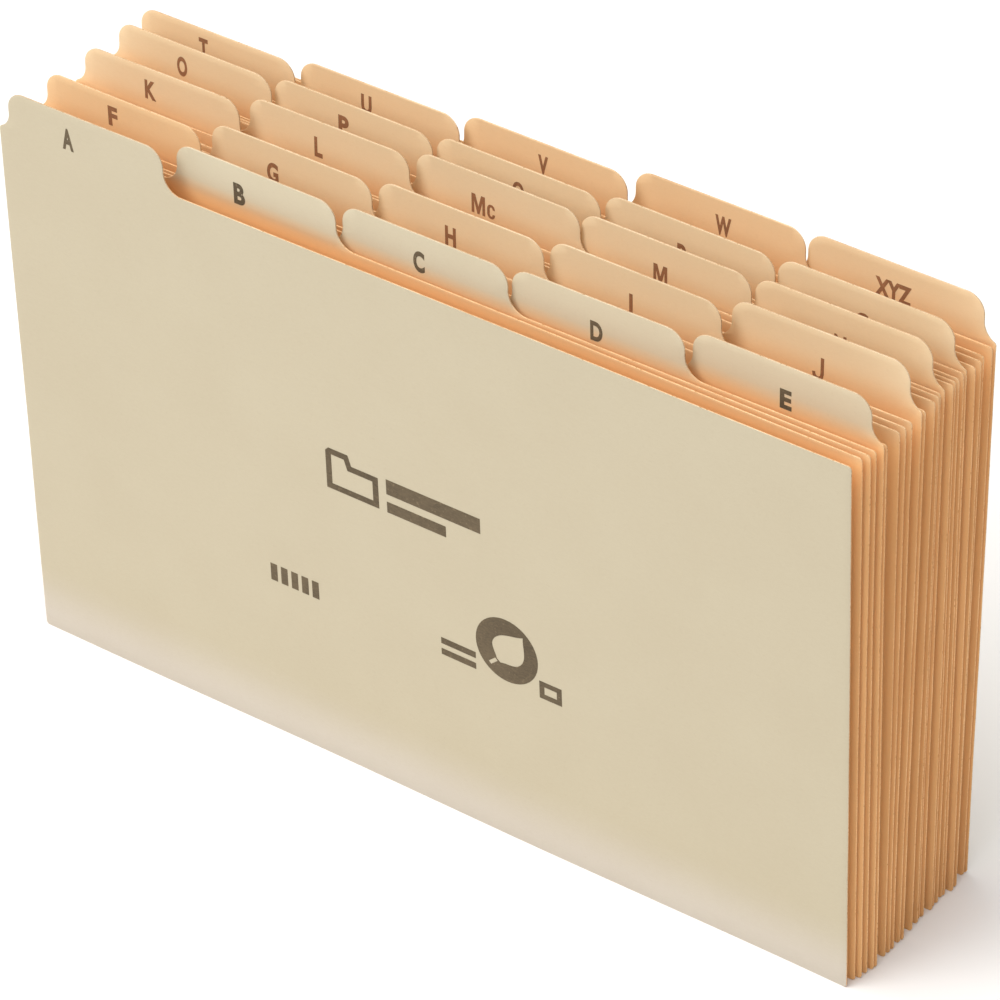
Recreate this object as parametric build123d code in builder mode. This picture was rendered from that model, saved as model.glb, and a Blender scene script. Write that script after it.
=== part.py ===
from build123d import *
from math import atan, cos, radians, sin
import os

# A to Z index card guides, 5 by 8 inch, standing on their long edges as one loose deck.
# +X runs along the guides, +Y from the front guide to the rear one, +Z up from the surface they stand on.
# The origin is the centre of the deck's box, on that surface. Sizes are in millimetres.

card_width = 203.2       # 8 in
body_height = 123.8      # 4 7/8 in, up to the plain top edge
tab_height = 9.4         # 3/8 in, above the plain top edge
card_thickness = 0.3     # 12 point manila card

tabs_across = 5          # fifth-cut tabs
end_inset = 2.8          # plain card outside the first and the last tab
tab_radius = 4.0         # rounded top corners of a tab
neck_radius = 4.2        # hollow curve from a tab down to the plain edge
corner_radius = 0.8      # outer corners of the card
blank_margin = 10.0      # how much wider than the card the blank is, on each side

front_lean = -1.0        # how far the front guide's top stands behind its foot

# Each guide, front to back: the gap to the guide in front at the top, in the middle of the deck;
# the same gap at the foot; its turn about the vertical, in degrees; how far it stands to the right.
guides = {
    "a": (0.0, 0.0, 0.1, -0.6),
    "b": (3.9, 3.2, -0.2, -0.5),
    "c": (1.4, 1.1, -0.1, 0.2),
    "d": (1.2, 1.4, 0.1, 0.3),
    "e": (2.1, 1.8, 0.0, 0.7),
    "f": (1.1, 1.2, -0.2, 0.8),
    "g": (4.2, 3.0, 0.1, 0.4),
    "h": (1.9, 1.5, 0.1, 0.5),
    "i": (1.9, 1.2, 0.2, 0.5),
    "j": (3.5, 2.4, 0.2, 0.4),
    "k": (0.9, 1.0, 0.3, 0.5),
    "l": (3.5, 3.4, 0.2, 0.3),
    "mc": (2.6, 3.2, -0.3, 0.0),
    "m": (0.9, 1.0, -0.2, -0.4),
    "n": (0.9, 1.0, -0.1, -0.2),
    "o": (2.5, 2.7, -0.1, 0.1),
    "p": (1.4, 1.3, -0.2, -0.2),
    "q": (1.3, 1.5, -0.3, -0.2),
    "r": (2.0, 2.0, -0.3, -0.5),
    "s": (0.7, 0.8, -0.3, -0.4),
    "t": (1.6, 1.5, 0.0, 0.2),
    "u": (2.2, 1.3, 0.1, 0.0),
    "v": (2.2, 1.3, -0.1, -0.6),
    "w": (3.1, 2.7, 0.0, -0.8),
    "xyz": (0.8, 0.9, 0.1, -0.7),
}

deck_depth = sum(row[0] for row in guides.values())
tab_width = (card_width - 2 * end_inset) / tabs_across
full_height = body_height + tab_height


def standing_plane(index):
    """The plane of one guide: its origin is the middle of the foot, and it faces the front."""
    rows = list(guides.values())[: index + 1]
    turn, shift = rows[-1][2:]
    top = front_lean + sum(row[0] for row in rows)
    foot = sum(row[1] for row in rows)
    deck_middle = front_lean + deck_depth / 2
    lean = atan((top - foot) / body_height)
    swing = radians(turn)
    lift = card_thickness / 2 * sin(abs(lean))
    along = (cos(swing), sin(swing), 0)
    facing = (sin(swing) * cos(lean), -cos(swing) * cos(lean), sin(lean))
    return Plane((shift, foot - deck_middle, lift), x_dir=along, z_dir=facing)


def tab_centre(index):
    """How far the guide's tab is from the middle of the card."""
    return (index % tabs_across - (tabs_across - 1) / 2) * tab_width


os.makedirs("parts", exist_ok=True)

for index, name in enumerate(guides):
    with BuildPart() as guide:
        with BuildSketch(standing_plane(index)) as outline:
            with Locations((0, body_height / 2)):
                Rectangle(card_width + 2 * blank_margin, body_height)
            with Locations((tab_centre(index), full_height / 2)):
                Rectangle(tab_width, full_height)
            tab_corners = outline.vertices().group_by(Axis.Y)[-1]
            fillet(tab_corners, tab_radius)
            shoulders = outline.vertices().group_by(Axis.Y)[1].sort_by(Axis.X)
            fillet(shoulders[1:-1], neck_radius)
            with Locations((0, full_height / 2)):
                Rectangle(card_width, full_height, mode=Mode.INTERSECT)
            left_end = outline.vertices().group_by(Axis.X)[0]
            right_end = outline.vertices().group_by(Axis.X)[-1]
            fillet(left_end + right_end, corner_radius)
        extrude(amount=card_thickness / 2, both=True)
    guide.part.label = f"guide_{name}"
    export_step(guide.part, f"parts/guide_{name}.step")
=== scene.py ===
import bpy
import bmesh
import math
from mathutils import Matrix, Vector, noise


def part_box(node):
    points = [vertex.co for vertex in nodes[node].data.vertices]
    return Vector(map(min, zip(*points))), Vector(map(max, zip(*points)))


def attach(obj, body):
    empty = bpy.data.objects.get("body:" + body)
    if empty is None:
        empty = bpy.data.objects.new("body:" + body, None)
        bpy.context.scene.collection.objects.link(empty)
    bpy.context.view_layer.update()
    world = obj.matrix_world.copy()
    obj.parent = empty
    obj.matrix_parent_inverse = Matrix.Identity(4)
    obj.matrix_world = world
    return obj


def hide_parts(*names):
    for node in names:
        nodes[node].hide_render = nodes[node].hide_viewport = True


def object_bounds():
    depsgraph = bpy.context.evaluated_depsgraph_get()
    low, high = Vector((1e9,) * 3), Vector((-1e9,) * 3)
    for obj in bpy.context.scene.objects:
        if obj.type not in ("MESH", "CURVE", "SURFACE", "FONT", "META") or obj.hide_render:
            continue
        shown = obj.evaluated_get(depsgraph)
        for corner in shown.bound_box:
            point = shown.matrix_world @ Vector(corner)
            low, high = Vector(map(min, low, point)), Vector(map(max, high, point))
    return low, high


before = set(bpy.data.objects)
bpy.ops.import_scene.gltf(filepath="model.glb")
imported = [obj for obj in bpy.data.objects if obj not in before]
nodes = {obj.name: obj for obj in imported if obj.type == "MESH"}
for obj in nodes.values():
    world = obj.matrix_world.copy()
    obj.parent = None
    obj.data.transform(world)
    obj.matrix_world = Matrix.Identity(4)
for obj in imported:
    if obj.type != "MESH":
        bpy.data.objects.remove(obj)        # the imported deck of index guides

cadBox = [list(corner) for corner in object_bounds()]
deckMiddle = (Vector(cadBox[0]) + Vector(cadBox[1])) / 2
print("deck loaded,", len(nodes), "guides")

mm = 0.001

cameraSetup = {
    "azimuth": 38.03,      # degrees to the right of the deck's front
    "elevation": 35.72,
    "roll": -1.68,
    "distance": 1.1091,    # metres from the aim point
    "lens": 202.0,         # mm
    "sensor": 36,          # mm across
    "clipEnd": 20,         # metres
    "aim": (2.84 * mm, -1.40 * mm, -3.96 * mm),      # from the middle of the deck's box
}


def makeCamera():
    data = bpy.data.cameras.new("camera")
    data.lens = cameraSetup["lens"]
    data.sensor_width = cameraSetup["sensor"]
    data.clip_end = cameraSetup["clipEnd"]
    camera = bpy.data.objects.new("camera", data)
    bpy.context.scene.collection.objects.link(camera)
    azimuth = math.radians(cameraSetup["azimuth"])
    elevation = math.radians(cameraSetup["elevation"])
    back = Vector((
        math.sin(azimuth) * math.cos(elevation),
        -math.cos(azimuth) * math.cos(elevation),
        math.sin(elevation),
    ))
    aim = deckMiddle + Vector(cameraSetup["aim"])
    turn = back.to_track_quat("Z", "Y").to_matrix().to_4x4()
    roll = Matrix.Rotation(math.radians(cameraSetup["roll"]), 4, "Z")
    camera.matrix_world = Matrix.Translation(aim + back * cameraSetup["distance"]) @ turn @ roll
    bpy.context.scene.camera = camera


studioSetup = {
    "world": 0.40,
    "worldColour": (1.0, 0.99, 0.98, 1.0),
    # name: place in metres, size, power in watts, colour
    "lights": {
        "key": ((-0.9, -1.6, 1.5), 1.2, 19.0, (1.0, 0.985, 0.96)),
        "top": ((-0.2, -0.5, 2.1), 2.0, 46.0, (1.0, 0.985, 0.96)),
    },
    "floorSize": 6.0,
    "floorColour": (0.93, 0.93, 0.93, 1.0),
    "floorRoughness": 0.9,
}


def makeLight(name):
    place, size, power, colour = studioSetup["lights"][name]
    data = bpy.data.lights.new(name, "AREA")
    data.size = size
    data.energy = power
    data.color = colour
    light = bpy.data.objects.new(name, data)
    bpy.context.scene.collection.objects.link(light)
    toDeck = deckMiddle - Vector(place)
    light.matrix_world = Matrix.Translation(place) @ toDeck.to_track_quat("-Z", "Y").to_matrix().to_4x4()


def makeWorld():
    world = bpy.data.worlds.new("studio")
    world.use_nodes = True
    sky = world.node_tree.nodes["Background"]
    sky.inputs["Color"].default_value = studioSetup["worldColour"]
    sky.inputs["Strength"].default_value = studioSetup["world"]
    bpy.context.scene.world = world
    bpy.context.scene.view_settings.view_transform = "Standard"


def makeFloor():
    bm = bmesh.new()
    bmesh.ops.create_grid(bm, x_segments=1, y_segments=1, size=studioSetup["floorSize"] / 2)
    bmesh.ops.translate(bm, verts=bm.verts, vec=(0, 0, cadBox[0][2]))
    mesh = bpy.data.meshes.new("floor")
    bm.to_mesh(mesh)
    bm.free()
    material = bpy.data.materials.new("floor")
    material.use_nodes = True
    shader = material.node_tree.nodes["Principled BSDF"]
    shader.inputs["Base Color"].default_value = studioSetup["floorColour"]
    shader.inputs["Roughness"].default_value = studioSetup["floorRoughness"]
    mesh.materials.append(material)
    floor = bpy.data.objects.new("floor", mesh)
    bpy.context.scene.collection.objects.link(floor)


makeCamera()
makeWorld()
for lightName in studioSetup["lights"]:
    makeLight(lightName)
makeFloor()
print("studio ready")


fibreLook = {
    "cloudScale": 55,
    "cloudDetail": 3,
    "fibreStretch": (900, 900, 2600),        # finer up the card than along it
    "fibreDetail": 2,
    "fibreDistortion": 1.2,
    "speckScale": 1400,
    "speckDetail": 1,
    "speckRange": (0.64, 0.76),              # noise from where flecks start to where they are full
    "mottleRange": (0.7, 1.3),               # clouds and fibres added up, from no mottling to full
    "roughness": (0.72, 0.98),
    "specular": 0.25,
    "bumpStrength": 0.6,
}


def addNoise(tree, place, scale, detail):
    node = tree.nodes.new("ShaderNodeTexNoise")
    node.inputs["Scale"].default_value = scale
    node.inputs["Detail"].default_value = detail
    tree.links.new(place, node.inputs["Vector"])
    return node


# maps a value from or to a span; the other end stays 0 to 1
def addRange(tree, value, end, span):
    node = tree.nodes.new("ShaderNodeMapRange")
    node.inputs[end + " Min"].default_value = span[0]
    node.inputs[end + " Max"].default_value = span[1]
    tree.links.new(value, node.inputs["Value"])
    return node.outputs["Result"]


def addMath(tree, operation, first, second, clamp=False):
    node = tree.nodes.new("ShaderNodeMath")
    node.operation = operation
    node.use_clamp = clamp
    tree.links.new(first, node.inputs[0])
    tree.links.new(second, node.inputs[1])
    return node.outputs["Value"]


def addMix(tree, blendType, share, first, second):
    node = tree.nodes.new("ShaderNodeMix")
    node.data_type = "RGBA"
    node.blend_type = blendType
    tree.links.new(share, node.inputs["Factor"])
    tree.links.new(first, node.inputs["A"])
    tree.links.new(second, node.inputs["B"])
    return node.outputs["Result"]


# shader group for the look of card: soft clouds, fine fibres and a few flecks, and painted light: where
# the painted light mix is low the painted tone shows, a warm glow of light in the gaps between cards or a
# lighter band of floor light on the first card's foot, and where it is high the plain tone, which is
# mostly paler
def makeFibreGroup():
    group = bpy.data.node_groups.new("cardFibre", "ShaderNodeTree")
    sockets = group.interface
    for label in ("Tone", "Plain Tone", "Mottle"):
        sockets.new_socket(label, in_out="INPUT", socket_type="NodeSocketColor")
    for label in ("Fade", "Clouding", "Flecking"):
        sockets.new_socket(label, in_out="INPUT", socket_type="NodeSocketFloat")
    sockets.new_socket("Color", in_out="OUTPUT", socket_type="NodeSocketColor")
    sockets.new_socket("Roughness", in_out="OUTPUT", socket_type="NodeSocketFloat")
    sockets.new_socket("Height", in_out="OUTPUT", socket_type="NodeSocketFloat")
    link = group.links.new
    given = group.nodes.new("NodeGroupInput").outputs
    results = group.nodes.new("NodeGroupOutput").inputs
    place = group.nodes.new("ShaderNodeTexCoord").outputs["Object"]

    clouds = addNoise(group, place, fibreLook["cloudScale"], fibreLook["cloudDetail"])
    stretch = group.nodes.new("ShaderNodeMapping")
    stretch.inputs["Scale"].default_value = fibreLook["fibreStretch"]
    link(place, stretch.inputs["Vector"])
    fibres = addNoise(group, stretch.outputs["Vector"], 1, fibreLook["fibreDetail"])
    fibres.inputs["Distortion"].default_value = fibreLook["fibreDistortion"]
    specks = addNoise(group, place, fibreLook["speckScale"], fibreLook["speckDetail"])

    flecks = addRange(group, specks.outputs["Fac"], "From", fibreLook["speckRange"])
    fleckShare = addMath(group, "MULTIPLY", flecks, given["Flecking"])
    texture = addMath(group, "ADD", clouds.outputs["Fac"], fibres.outputs["Fac"])
    centred = addRange(group, texture, "From", fibreLook["mottleRange"])
    cloudShare = addMath(group, "MULTIPLY", centred, given["Clouding"])
    mottleShare = addMath(group, "ADD", cloudShare, fleckShare, clamp=True)

    plain = addMix(group, "MIX", given["Fade"], given["Tone"], given["Plain Tone"])
    mottled = addMix(group, "MULTIPLY", mottleShare, plain, given["Mottle"])
    link(mottled, results["Color"])
    link(addRange(group, fibres.outputs["Fac"], "To", fibreLook["roughness"]), results["Roughness"])
    link(fibres.outputs["Fac"], results["Height"])
    return group


fibreGroup = makeFibreGroup()

# name: tone, which on cards is painted light (a warm glow of light in the gaps, and on the first card a
# lighter band of floor light at its foot), plain tone, mostly paler, mottling that multiplies it,
# clouding, flecking, bump in metres
finishes = {
    "firstCard": ((0.61, 0.55, 0.47), (0.55, 0.485, 0.355), (0.94, 0.92, 0.90), 0.5, 0.30, 0.00002),
    "frontCard": ((0.93, 0.55, 0.245), (0.61, 0.54, 0.395), (0.94, 0.92, 0.90), 0.5, 0.30, 0.00002),
    "innerCard": ((0.93, 0.55, 0.245), (0.84, 0.69, 0.465), (0.95, 0.92, 0.88), 0.5, 0.30, 0.00002),
    "cutEdge": ((0.97, 0.60, 0.30), (0.74, 0.60, 0.42), (0.64, 0.50, 0.38), 0.8, 0.90, 0.00004),
    "frontInk": ((0.092, 0.069, 0.042), (0.092, 0.069, 0.042), (2.1, 2.1, 2.1), 0.7, 0.70, 0.00001),
    "innerInk": ((0.25, 0.12, 0.06), (0.25, 0.12, 0.06), (1.6, 1.6, 1.6), 0.7, 0.60, 0.00001),
}


def makeFinish(name):
    tone, plainTone, mottle, clouding, flecking, bumpDepth = finishes[name]
    material = bpy.data.materials.new(name)
    material.use_nodes = True
    tree = material.node_tree
    shader = tree.nodes["Principled BSDF"]
    shader.inputs["Specular IOR Level"].default_value = fibreLook["specular"]
    fibre = tree.nodes.new("ShaderNodeGroup")
    fibre.node_tree = fibreGroup
    fibre.inputs["Tone"].default_value = (*tone, 1)
    fibre.inputs["Plain Tone"].default_value = (*plainTone, 1)
    fibre.inputs["Mottle"].default_value = (*mottle, 1)
    fibre.inputs["Clouding"].default_value = clouding
    fibre.inputs["Flecking"].default_value = flecking
    # cards mix the two tones point by point, which paints light and shade on them; inks have one tone and
    # no mix
    if tone != plainTone:
        paintedLightMix = tree.nodes.new("ShaderNodeAttribute")
        paintedLightMix.attribute_name = "paintedLightMix"
        tree.links.new(paintedLightMix.outputs["Fac"], fibre.inputs["Fade"])
    bump = tree.nodes.new("ShaderNodeBump")
    bump.inputs["Strength"].default_value = fibreLook["bumpStrength"]
    bump.inputs["Distance"].default_value = bumpDepth
    tree.links.new(fibre.outputs["Color"], shader.inputs["Base Color"])
    tree.links.new(fibre.outputs["Roughness"], shader.inputs["Roughness"])
    tree.links.new(fibre.outputs["Height"], bump.inputs["Height"])
    tree.links.new(bump.outputs["Normal"], shader.inputs["Normal"])
    return material


materials = {name: makeFinish(name) for name in finishes}
print("finishes ready:", ", ".join(materials))


cardLook = {
    "cell": 4 * mm,          # spacing of the cuts that let a card bend
    "tabCell": 1.6 * mm,     # closer cuts where the painted warm glow on the tab gives way to its pale tone
    "bow": 0.20 * mm,        # how far a card's middle stands out from its ends
    "bowDrift": 0.5,         # how fast the bow changes from card to card
    "ripple": 0.30 * mm,     # uneven waves
    "rippleSize": 55 * mm,
    "rippleDrift": 0.25,
    "endWave": 0.10 * mm,    # short waves at the two cut ends
    "endWaveSize": 4 * mm,
    "endWaveDepth": 6 * mm,  # how far in from the end they go
    "endWaveShift": (3.3, 9.1),      # keeps each card and each end different
    "edgeRound": 0.05 * mm,
    "edgeSteps": 2,
    "edgeProfile": 0.5,
    "rimAngle": 1.0,         # radians; sharper edges are rounded
    "rimFacing": 0.5,        # faces turned away further than this are the rim
    "sharpAngle": 35,        # degrees; sharper edges stay crisp in the shading
    "frontRow": 5,           # guides in the front row, with the palest tabs
    "frontPaintedSpan": (-1.5 * mm, 4.0 * mm),      # from the tab's foot up to where it is palest; below, a painted warm glow of light in the gaps
    "innerPaintedSpan": (-5.0 * mm, 5.5 * mm),
    "firstPaintedSpan": (2.0 * mm, 16.0 * mm),      # on the first card, from its own foot up: a painted lighter band of floor light at the foot gives way to the plain tone
    "bodyPaintedLightMix": 0.85,        # how pale the middle of a card is, away from the painted warm glow at its edges
    "edgeGlow": (2.5 * mm, 9.0 * mm),        # painted warm glow of light in the gaps, from the edge inwards
    "glowSpread": 3.0 * mm,  # how uneven the painted edge glow is
    "glowSize": 14 * mm,
    "glowShift": 1.7,
    "frontShare": 0.8,       # share of the thickness that takes the front's tone
}

weldGap = 0.001 * mm         # points closer than this are one
edgeGap = 0.01 * mm          # points this close to an edge lie on it
squareOn = 0.9               # how squarely a card's front has to face

# how pale each tab is at the top, row by row from the front; the rest is the painted warm glow of light in
# the gaps
tabPaintedLightMix = [
    1.00, 1.00, 1.00, 0.95, 0.90,
    0.50, 0.85, 0.85, 0.90, 0.90,
    0.80, 0.85, 0.90, 0.85, 0.80,
    0.80, 0.80, 0.80, 0.85, 0.85,
    0.70, 0.65, 0.55, 0.55, 0.70,
]


# the matrix from a card's own space to the deck's: x along the card, y up it, z out of its front
def cardSpace(node):
    facing = Vector()
    for face in node.data.polygons:
        if face.normal.y < -squareOn:
            facing += face.normal * face.area
    facing.normalize()
    up = (Vector((0, 0, 1)) - facing * facing.z).normalized()
    turn = Matrix((up.cross(facing), up, facing)).transposed()
    points = [turn.transposed() @ vertex.co for vertex in node.data.vertices]
    left = min(point.x for point in points)
    right = max(point.x for point in points)
    foot = min(point.y for point in points)
    front = max(point.z for point in points)
    corner = turn @ Vector(((left + right) / 2, foot, front))
    return Matrix.Translation(corner) @ turn.to_4x4()


def describeGuide(order, name):
    node = nodes[name]
    space = cardSpace(node)
    inside = space.inverted()
    points = [inside @ vertex.co for vertex in node.data.vertices]
    height = max(point.y for point in points)
    tabEdge = [point.x for point in points if point.y > height - edgeGap]
    half = max(point.x for point in points)
    sides = [point.y for point in points if abs(abs(point.x) - half) < edgeGap]
    return {
        "name": name,
        "tail": name.split("_")[1],
        "order": order,
        "node": node,
        "space": space,
        "width": 2 * half,
        "height": height,
        "body": max(sides),      # height of the card's shoulder, without its small corner
        "thickness": -min(point.z for point in points),
        "tab": (min(tabEdge) + max(tabEdge)) / 2,
    }


# how far a card stands out of its flat plane at one point
def cardWarp(guide, x, y):
    order = guide["order"]
    across = 1 - (2 * x / guide["width"]) ** 2
    bow = cardLook["bow"] * math.sin(order * cardLook["bowDrift"]) * across
    size = cardLook["rippleSize"]
    wave = noise.noise(Vector((x / size, y / size, order * cardLook["rippleDrift"])))
    inwards = (guide["width"] / 2 - abs(x)) / cardLook["endWaveDepth"]
    cardShift, endShift = cardLook["endWaveShift"]
    spot = Vector((order * cardShift, y / cardLook["endWaveSize"], math.copysign(endShift, x)))
    curl = cardLook["endWave"] * noise.noise(spot) * max(1 - inwards, 0)
    return bow + cardLook["ripple"] * wave + curl


def warpPoints(bm, guide):
    for vertex in bm.verts:
        vertex.co.z += cardWarp(guide, vertex.co.x, vertex.co.y)


def cutAt(bm, place, normal):
    parts = bm.verts[:] + bm.edges[:] + bm.faces[:]
    bmesh.ops.bisect_plane(bm, geom=parts, plane_co=place, plane_no=normal)


# cuts a flat shape along the lines where its card may bend
def gridCut(bm, guide):
    left = min(vertex.co.x for vertex in bm.verts)
    right = max(vertex.co.x for vertex in bm.verts)
    low = min(vertex.co.y for vertex in bm.verts)
    high = max(vertex.co.y for vertex in bm.verts)
    cell = cardLook["cell"]
    for step in range(math.floor(left / cell) + 1, math.ceil(right / cell)):
        cutAt(bm, (step * cell, 0, 0), (1, 0, 0))
    tabFoot = guide["body"] + cardLook["frontPaintedSpan"][0]
    rows = [step * cell for step in range(1, int(tabFoot / cell) + 1)]
    while tabFoot < guide["height"]:
        rows.append(tabFoot)
        tabFoot += cardLook["tabCell"]
    for row in rows:
        if low < row < high:
            cutAt(bm, (0, row, 0), (0, 1, 0))


def smoothRise(value, start, end):
    rise = min(max((value - start) / (end - start), 0.0), 1.0)
    return rise * rise * (3 - 2 * rise)


# how pale a card is at one point, a mix that paints light and shade: its tab is pale, and its body is
# warmer towards the edges, a painted glow of light in the gaps between cards; the first card's front has a
# painted lighter band of floor light at its foot
def paintedLightMixAt(guide, x, y, z):
    order = guide["order"]
    onFront = z > cardWarp(guide, x, y) - cardLook["frontShare"] * guide["thickness"]
    if order == 0 and onFront:
        return smoothRise(y, *cardLook["firstPaintedSpan"])
    if order == len(guides) - 1 and not onFront:
        return cardLook["bodyPaintedLightMix"]
    span = cardLook["frontPaintedSpan" if order < cardLook["frontRow"] else "innerPaintedSpan"]
    tabShare = tabPaintedLightMix[order] * smoothRise(y - guide["body"], *span)
    inwards = min(guide["width"] / 2 - abs(x), y, guide["body"] - y)
    size = cardLook["glowSize"]
    spot = Vector((x / size, y / size, order * cardLook["glowShift"]))
    inwards += cardLook["glowSpread"] * noise.noise(spot)
    bodyShare = cardLook["bodyPaintedLightMix"] * smoothRise(inwards, *cardLook["edgeGlow"])
    return max(tabShare, bodyShare)


def finishPiece(bm, guide, name, pieceMaterials):
    bm.transform(guide["space"])
    mesh = bpy.data.meshes.new(name)
    bm.to_mesh(mesh)
    bm.free()
    for material in pieceMaterials:
        mesh.materials.append(material)
    mesh.shade_smooth()
    mesh.set_sharp_from_angle(angle=math.radians(cardLook["sharpAngle"]))
    piece = bpy.data.objects.new(name, mesh)
    bpy.context.scene.collection.objects.link(piece)
    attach(piece, guide["name"])
    return piece


def makeCard(guide):
    bm = bmesh.new()
    bm.from_mesh(guide["node"].data)
    bmesh.ops.remove_doubles(bm, verts=bm.verts, dist=weldGap)
    bm.transform(guide["space"].inverted())
    bm.normal_update()
    hidden = [face for face in bm.faces if face.normal.z < squareOn]
    bmesh.ops.delete(bm, geom=hidden, context="FACES")
    bmesh.ops.dissolve_faces(bm, faces=bm.faces[:])
    gridCut(bm, guide)
    warpPoints(bm, guide)
    bm.normal_update()
    bmesh.ops.solidify(bm, geom=bm.faces[:], thickness=guide["thickness"])
    bm.normal_update()
    for face in bm.faces:
        if abs(face.normal.z) < cardLook["rimFacing"]:
            face.material_index = 1
        elif face.normal.z < 0:
            face.material_index = 2
    shared = [edge for edge in bm.edges if len(edge.link_faces) == 2]
    rim = [edge for edge in shared if edge.calc_face_angle() > cardLook["rimAngle"]]
    bmesh.ops.bevel(
        bm, geom=rim, offset=cardLook["edgeRound"], segments=cardLook["edgeSteps"],
        profile=cardLook["edgeProfile"], affect="EDGES", material=-1,
    )
    # each point keeps its share of the plain tone in the mix that paints light and shade
    paintedLightMix = bm.verts.layers.float.new("paintedLightMix")
    for vertex in bm.verts:
        vertex[paintedLightMix] = paintedLightMixAt(guide, *vertex.co)
    cardTone = "innerCard"
    if guide["order"] < cardLook["frontRow"]:
        cardTone = "frontCard" if guide["order"] else "firstCard"
    sides = [materials[name] for name in (cardTone, "cutEdge", "innerCard")]      # front, rim, back
    card = finishPiece(bm, guide, guide["name"] + "_card", sides)
    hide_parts(guide["name"])


names = sorted(nodes, key=lambda name: sum(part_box(name), Vector()).y)
guides = [describeGuide(order, name) for order, name in enumerate(names)]
for guide in guides:
    makeCard(guide)
print("cards ready, front to back:", " ".join(names))


inkLook = {
    "weight": 0.25 * mm,     # how much the strokes of the plain font are thickened
    "fontSize": 6.0 * mm,    # before a letter is fitted to its own width and height
    "lift": 0.02 * mm,       # ink above the card
    "thickness": 0.012 * mm,
    "weld": 1e-7,            # metres; points closer than this are one
    "curveSteps": 12,
    "fontSteps": 6,
}

# for each letter, in mm: how far its middle is from the tab's middle and below the edge, width, height
letterPlaces = {
    "a": (-4.5, 6.0, 2.8, 5.0), "b": (-4.1, 6.3, 2.8, 4.8), "c": (-1.3, 6.2, 2.7, 4.8),
    "d": (-0.3, 7.2, 2.8, 4.4), "e": (1.0, 7.4, 2.6, 4.3), "f": (-2.6, 4.6, 2.4, 4.5),
    "g": (-4.7, 6.4, 2.8, 4.6), "h": (-2.4, 6.6, 2.6, 4.4), "i": (-0.9, 7.3, 0.8, 4.3),
    "j": (-0.3, 8.2, 2.6, 5.0), "k": (-2.9, 4.9, 2.8, 4.3), "l": (-2.6, 5.9, 2.0, 4.5),
    "mc": (-3.5, 6.9, 5.7, 4.3), "m": (-1.1, 7.1, 3.2, 4.1), "n": (-0.5, 8.0, 2.7, 4.2),
    "o": (-3.2, 5.0, 2.6, 4.5), "p": (-2.4, 5.3, 2.6, 4.4), "q": (0.1, 5.9, 2.7, 4.5),
    "r": (-1.4, 7.0, 2.7, 4.3), "s": (-0.5, 7.4, 2.6, 4.3), "t": (-3.6, 4.3, 2.3, 4.3),
    "u": (-3.2, 4.7, 2.6, 4.3), "v": (-0.4, 4.9, 2.4, 4.3), "w": (0.8, 5.5, 3.7, 4.3),
    "xyz": (-0.4, 6.1, 8.2, 4.2),
}


# outlines of letters that the plain font draws badly when it is bold, as shares of the capital height;
# a point marked "round" bends the line, others are corners
letterM = [
    (0, 0), (0, 1), (0.23, 1), (0.41, 0.38), (0.59, 1), (0.82, 1), (0.82, 0),
    (0.66, 0), (0.66, 0.64), (0.47, 0), (0.35, 0), (0.16, 0.64), (0.16, 0),
]
letterC = [
    (1.43, 0.25), (1.35, 0.06, "round"), (1.19, 0, "round"), (1.0, 0.10, "round"),
    (0.95, 0.37, "round"), (1.0, 0.64, "round"), (1.19, 0.74, "round"), (1.35, 0.68, "round"),
    (1.43, 0.49), (1.28, 0.49), (1.26, 0.57, "round"), (1.19, 0.61, "round"),
    (1.12, 0.55, "round"), (1.105, 0.37, "round"), (1.12, 0.19, "round"),
    (1.19, 0.13, "round"), (1.26, 0.17, "round"), (1.28, 0.25),
]
letterJ = [
    (0.46, 1.0), (0.64, 1.0), (0.64, 0.28), (0.54, 0.06, "round"), (0.31, 0.0, "round"),
    (0.08, 0.07, "round"), (0.0, 0.30), (0.16, 0.33), (0.21, 0.19, "round"),
    (0.31, 0.145, "round"), (0.42, 0.19, "round"), (0.46, 0.30),
]
drawnLetters = {"m": [letterM], "mc": [letterM, letterC], "j": [letterJ]}


# a filled flat curve from closed outlines; one inside another is a hole
def flatCurve(outlines, size):
    data = bpy.data.curves.new("outline", "CURVE")
    data.dimensions = "2D"
    data.fill_mode = "BOTH"
    data.resolution_u = inkLook["curveSteps"]
    data.extrude = inkLook["thickness"]
    for outline in outlines:
        spline = data.splines.new("BEZIER")
        spline.bezier_points.add(len(outline) - 1)
        spline.use_cyclic_u = True
        for point, place in zip(spline.bezier_points, outline):
            point.co = (place[0] * size, place[1] * size, 0)
            kind = "AUTO" if len(place) > 2 else "VECTOR"
            point.handle_left_type = kind
            point.handle_right_type = kind
    return data


# turns a text or flat curve into a mesh
def flatMesh(data):
    holder = bpy.data.objects.new("holder", data)
    bpy.context.scene.collection.objects.link(holder)
    bpy.context.view_layer.update()
    ready = holder.evaluated_get(bpy.context.evaluated_depsgraph_get())
    mesh = bpy.data.meshes.new_from_object(ready)
    bpy.data.objects.remove(holder)
    bpy.data.curves.remove(data)
    return mesh


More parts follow.
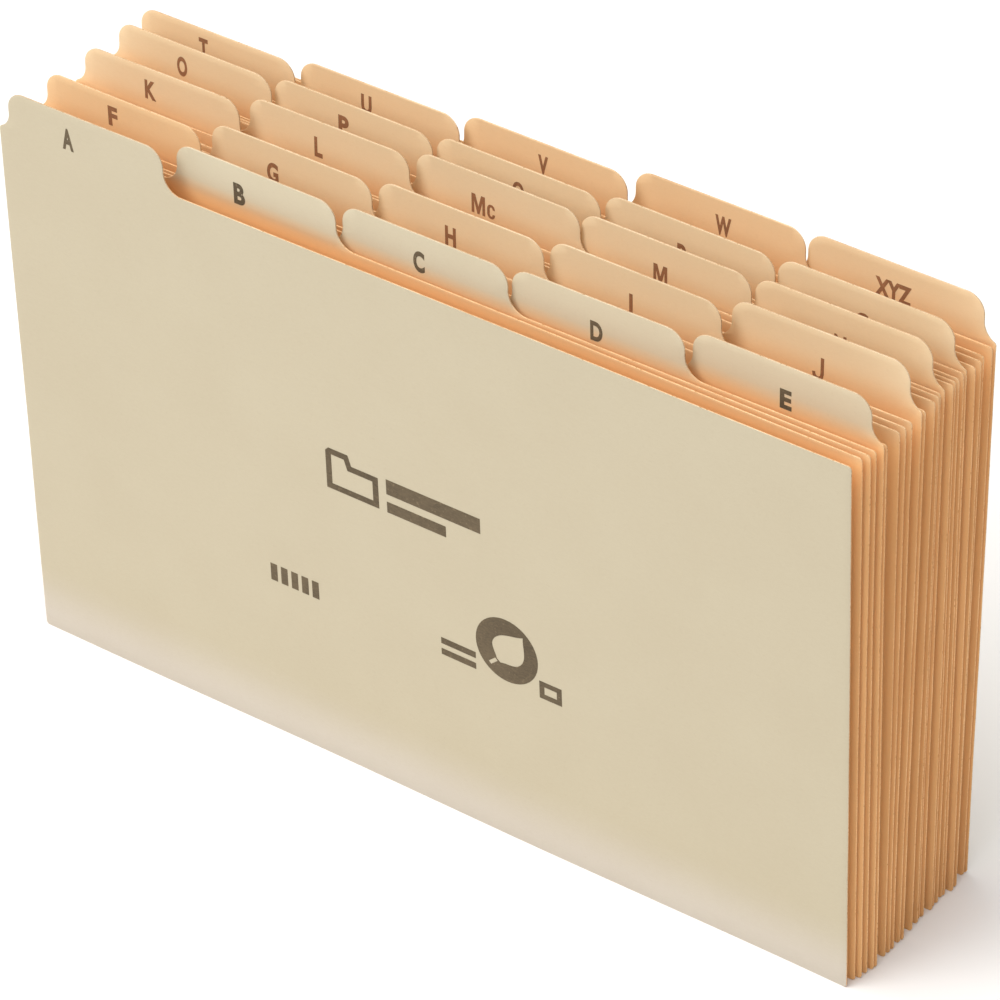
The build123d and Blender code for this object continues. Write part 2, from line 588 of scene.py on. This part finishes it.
# lays a flat mesh on a card, with its middle at one place and fitted to a width and height
def makeInk(mesh, guide, name, middle, width, height, ink):
    bm = bmesh.new()
    bm.from_mesh(mesh)
    bpy.data.meshes.remove(mesh)
    bmesh.ops.remove_doubles(bm, verts=bm.verts, dist=inkLook["weld"])
    lowest = Vector([min(vertex.co[i] for vertex in bm.verts) for i in range(3)])
    highest = Vector([max(vertex.co[i] for vertex in bm.verts) for i in range(3)])
    bmesh.ops.translate(bm, verts=bm.verts, vec=-(lowest + highest) / 2)
    fit = (width / (highest.x - lowest.x), height / (highest.y - lowest.y), 1)
    bmesh.ops.scale(bm, verts=bm.verts, vec=fit)
    bmesh.ops.translate(bm, verts=bm.verts, vec=(middle[0], middle[1], inkLook["lift"]))
    gridCut(bm, guide)
    warpPoints(bm, guide)
    bmesh.ops.recalc_face_normals(bm, faces=bm.faces[:])
    finishPiece(bm, guide, name, [materials[ink]])


def makeLetter(guide):
    tail = guide["tail"]
    drift, drop, width, height = letterPlaces[tail]
    if tail in drawnLetters:
        data = flatCurve(drawnLetters[tail], inkLook["fontSize"])
    else:
        data = bpy.data.curves.new("letter", "FONT")
        data.body = tail.upper()
        data.size = inkLook["fontSize"]
        data.offset = inkLook["weight"]
        data.extrude = inkLook["thickness"]
        data.resolution_u = inkLook["fontSteps"]
    middle = (guide["tab"] + drift * mm, guide["height"] - drop * mm)
    ink = "frontInk" if guide["order"] < cardLook["frontRow"] else "innerInk"
    makeInk(flatMesh(data), guide, guide["name"] + "_letter", middle, width * mm, height * mm, ink)


for guide in guides:
    makeLetter(guide)
print("letters ready")


# plain marks on the front guide: middle from the card's centre line and above its foot, width, height,
# and outlines, all in mm
frontMarks = {
    "cardMark": ((-15.5, 73.5), (13, 9.8), [
        [(0, 0), (13, 0), (13, 7.4), (6.4, 7.4), (5.6, 9.8), (0.8, 9.8), (0, 9.0)],
        [(1.4, 1.4), (11.6, 1.4), (11.6, 6.0), (5.4, 6.0), (4.6, 8.4), (1.4, 8.4)],
    ]),
    "titleBars": ((4.5, 72.6), (23, 8.0), [
        [(0, 4.4), (23, 4.4), (23, 8.0), (0, 8.0)],
        [(0, 0), (14.5, 0), (14.5, 2.6), (0, 2.6)],
    ]),
    "countBlocks": ((-32, 41), (12.3, 4.2), [
        [(left, 0), (left + 1.7, 0), (left + 1.7, 4.2), (left, 4.2)] for left in (0, 2.65, 5.3, 7.95, 10.6)
    ]),
    "sideBars": ((9.3, 41), (8.6, 4.2), [
        [(0, 0), (9, 0), (9, 1.5), (0, 1.5)],
        [(0, 2.7), (9, 2.7), (9, 4.2), (0, 4.2)],
    ]),
    "leafDisc": ((21.4, 46.9), (15.2, 15.2), [
        [(7.8, 0, "round"), (0, 7.8, "round"), (-7.8, 0, "round"), (0, -7.8, "round")],
        [(-2.6, -3.0), (-3.4, 1.4, "round"), (4.2, 5.0), (3.4, -2.2, "round"), (-1.7, -3.7)],
        [(-4.7, -4.5), (-4.1, -5.1), (-2.4, -3.6), (-3.0, -3.0)],
    ]),
    "cornerSquare": ((31.9, 41), (5.4, 4.2), [
        [(0, 0), (5.4, 0), (5.4, 4.2), (0, 4.2)],
        [(1.2, 1.2), (4.2, 1.2), (4.2, 3.0), (1.2, 3.0)],
    ]),
}


def makeMark(guide, name):
    (across, up), (width, height), outlines = frontMarks[name]
    mesh = flatMesh(flatCurve(outlines, mm))
    middle = (across * mm, up * mm)
    makeInk(mesh, guide, guide["name"] + "_" + name, middle, width * mm, height * mm, "frontInk")


for markName in frontMarks:
    makeMark(guides[0], markName)
print("marks ready:", ", ".join(frontMarks))
